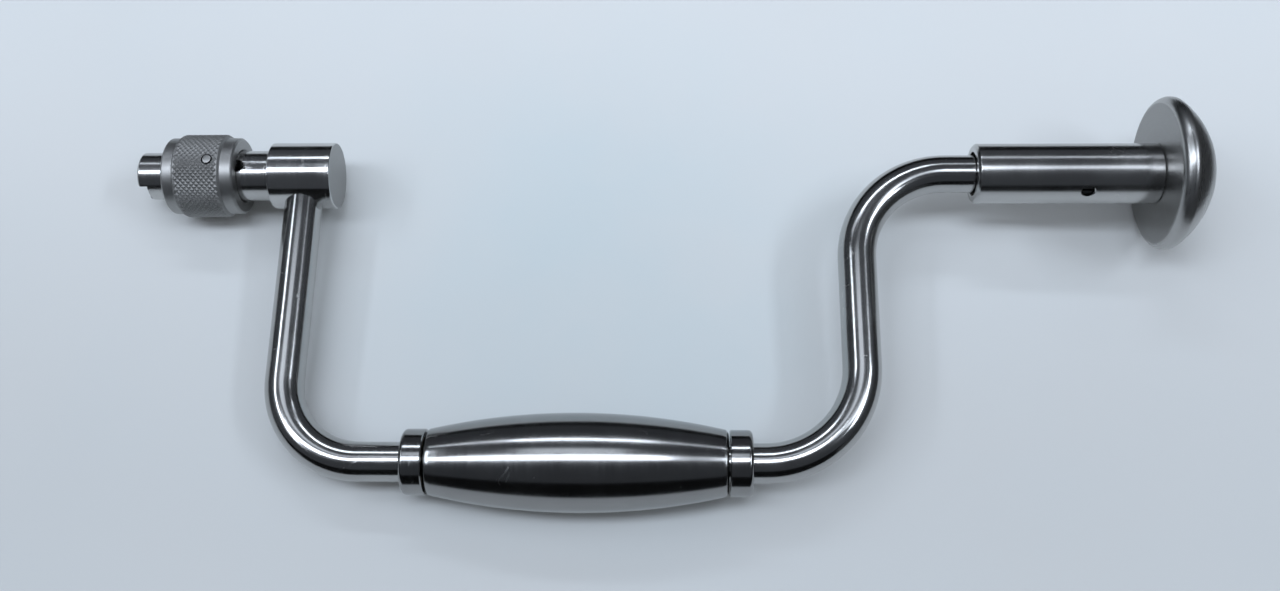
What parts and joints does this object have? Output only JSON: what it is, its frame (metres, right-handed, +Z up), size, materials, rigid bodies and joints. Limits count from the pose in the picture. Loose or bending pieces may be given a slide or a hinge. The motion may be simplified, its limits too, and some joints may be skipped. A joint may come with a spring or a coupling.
{
  "type": "cranial drill",
  "caption": "Hand-cranked cranial drill brace: bent steel crank, turning barrel grip, free-turning palm knob and a spring-loaded sliding-collar chuck for a round bit shank.",
  "frame": {"origin": "centre of the chuck's front face, at the mouth of the bit bore", "axes": "+X along the drill axis from the chuck to the palm knob, -Y from the drill axis to the grip, +Z up as the brace lies on a table"},
  "size_m": [0.2731, 0.1059, 0.0386],
  "materials": {
    "polished_steel": "mirror polish with fine lengthwise brush lines",
    "satin_steel": "satin, with a fine diamond knurl on the locking collar's band",
    "knob_steel": "polished dome, satin turned underside",
    "bush_bronze": "machined",
    "spring_steel": "bright drawn wire",
    "hardened_steel": "ground"
  },
  "bodies": {
    "crank": {"crank_bar": "polished_steel", "chuck_head": "polished_steel", "chuck_body": "polished_steel", "spring_seat": "hardened_steel", "grip_collar_left": "polished_steel", "grip_collar_right": "polished_steel", "collar_spring": "spring_steel"},
    "palm_rest": {"bearing_sleeve": "polished_steel", "front_bush": "bush_bronze", "rear_bush": "bush_bronze", "retaining_screw": "hardened_steel", "thrust_ball": "hardened_steel", "thrust_pad": "hardened_steel", "palm_knob": "knob_steel"},
    "grip": {"grip_barrel": "polished_steel", "grip_bush_left": "bush_bronze", "grip_bush_right": "bush_bronze"},
    "lock_collar": {"locking_collar": "satin_steel", "collar_pin": "hardened_steel", "spring_plunger": "hardened_steel"},
    "ball_front": {"locking_ball_front": "hardened_steel"},
    "ball_back": {"locking_ball_back": "hardened_steel"}
  },
  "joints": [
    {"name": "palm_rest_spin", "type": "hinge", "parent": "crank", "child": "palm_rest", "pos_m": [0.2367, 0, 0], "axis": [1, 0, 0], "continuous": true},
    {"name": "grip_spin", "type": "hinge", "parent": "crank", "child": "grip", "pos_m": [0.1148, -0.0748, 0], "axis": [1, 0, 0], "continuous": true},
    {"name": "lock_collar_slide", "type": "slide", "parent": "crank", "child": "lock_collar", "axis": [1, 0, 0], "range_m": [0, 0.006], "stiffness_N_per_m": 1500, "springref_m": -0.004, "deforming": ["collar_spring"]},
    {"name": "ball_front_slide", "type": "slide", "parent": "crank", "child": "ball_front", "axis": [0, -1, 0], "range_m": [0, 0.0008]},
    {"name": "ball_back_slide", "type": "slide", "parent": "crank", "child": "ball_back", "axis": [0, 1, 0], "range_m": [0, 0.0008]}
  ],
  "couplings": [
    {"joint": "ball_front_slide", "follows": "lock_collar_slide", "ratio": 0.13333},
    {"joint": "ball_back_slide", "follows": "lock_collar_slide", "ratio": 0.13333}
  ]
}
